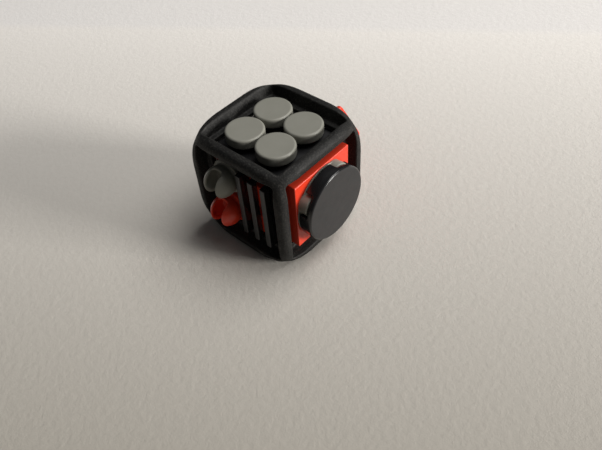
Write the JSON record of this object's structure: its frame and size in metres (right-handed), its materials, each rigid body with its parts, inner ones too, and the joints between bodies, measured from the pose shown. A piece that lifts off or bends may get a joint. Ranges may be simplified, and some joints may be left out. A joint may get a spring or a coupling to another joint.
{
  "type": "fidget cube",
  "caption": "Small desk toy: studded core in a soft rounded cage, with sprung push buttons, a disc spinner, a bladed rotor, a ribbed grille and turning ball sockets.",
  "frame": {"origin": "on the surface that the cube stands on, under the middle of the bounding box; the cube's own centre is 1.475 mm towards -X and 12.25 mm up", "axes": "+Z out of the face with the four push buttons, +X out of the face with the disc spinner, -Y out of the face with the grille and the two sockets, +Y out of the rotor's face"},
  "size_m": [0.0274, 0.0301, 0.0245],
  "materials": {
    "black_rubber": "fine matt grain, moulded",
    "black_plastic": "moulded, satin",
    "grey_plastic": "moulded, satin",
    "red_plastic": "moulded, glossy",
    "spring_steel": "drawn wire"
  },
  "bodies": {
    "root": {"bumper_frame": "black_rubber", "core_housing": "red_plastic", "guide_plate": "black_plastic", "button_spring_1": "spring_steel", "button_spring_2": "spring_steel", "button_spring_3": "spring_steel", "button_spring_4": "spring_steel", "spinner_base": "red_plastic", "grille": "black_plastic", "rotor_base": "black_plastic", "rotor_pin": "grey_plastic", "thumb_dish": "grey_plastic", "bottom_tile": "black_plastic"},
    "button_1": {"plunger_1": "black_plastic", "button_cap_1": "grey_plastic"},
    "button_2": {"plunger_2": "black_plastic", "button_cap_2": "grey_plastic"},
    "button_3": {"plunger_3": "black_plastic", "button_cap_3": "grey_plastic"},
    "button_4": {"plunger_4": "black_plastic", "button_cap_4": "grey_plastic"},
    "spinner": {"spinner_turntable": "grey_plastic", "spinner_cap": "black_plastic"},
    "grey_socket": {"socket_grey": "grey_plastic"},
    "red_socket": {"socket_red": "red_plastic"},
    "rotor": {"rotor": "red_plastic"}
  },
  "joints": [
    {"name": "button_1_press", "type": "slide", "parent": "root", "child": "button_1", "axis": [0, 0, -1], "range_m": [0, 0.0008], "stiffness_N_per_m": 1200, "springref_m": -0.0003, "deforming": ["button_spring_1"]},
    {"name": "button_2_press", "type": "slide", "parent": "root", "child": "button_2", "axis": [0, 0, -1], "range_m": [0, 0.0008], "stiffness_N_per_m": 1200, "springref_m": -0.0003, "deforming": ["button_spring_2"]},
    {"name": "button_3_press", "type": "slide", "parent": "root", "child": "button_3", "axis": [0, 0, -1], "range_m": [0, 0.0008], "stiffness_N_per_m": 1200, "springref_m": -0.0003, "deforming": ["button_spring_3"]},
    {"name": "button_4_press", "type": "slide", "parent": "root", "child": "button_4", "axis": [0, 0, -1], "range_m": [0, 0.0008], "stiffness_N_per_m": 1200, "springref_m": -0.0003, "deforming": ["button_spring_4"]},
    {"name": "spinner_spin", "type": "hinge", "parent": "root", "child": "spinner", "pos_m": [0.01077, 0, 0.01225], "axis": [1, 0, 0], "continuous": true},
    {"name": "rotor_spin", "type": "hinge", "parent": "root", "child": "rotor", "pos_m": [-0.00147, 0.0139, 0.01225], "axis": [0, 1, 0], "continuous": true},
    {"name": "grey_socket_turn", "type": "hinge", "parent": "root", "child": "grey_socket", "pos_m": [-0.00547, -0.012, 0.01625], "axis": [0, -1, 0], "continuous": true},
    {"name": "red_socket_turn", "type": "hinge", "parent": "root", "child": "red_socket", "pos_m": [-0.00547, -0.012, 0.00825], "axis": [0, -1, 0], "continuous": true}
  ]
}
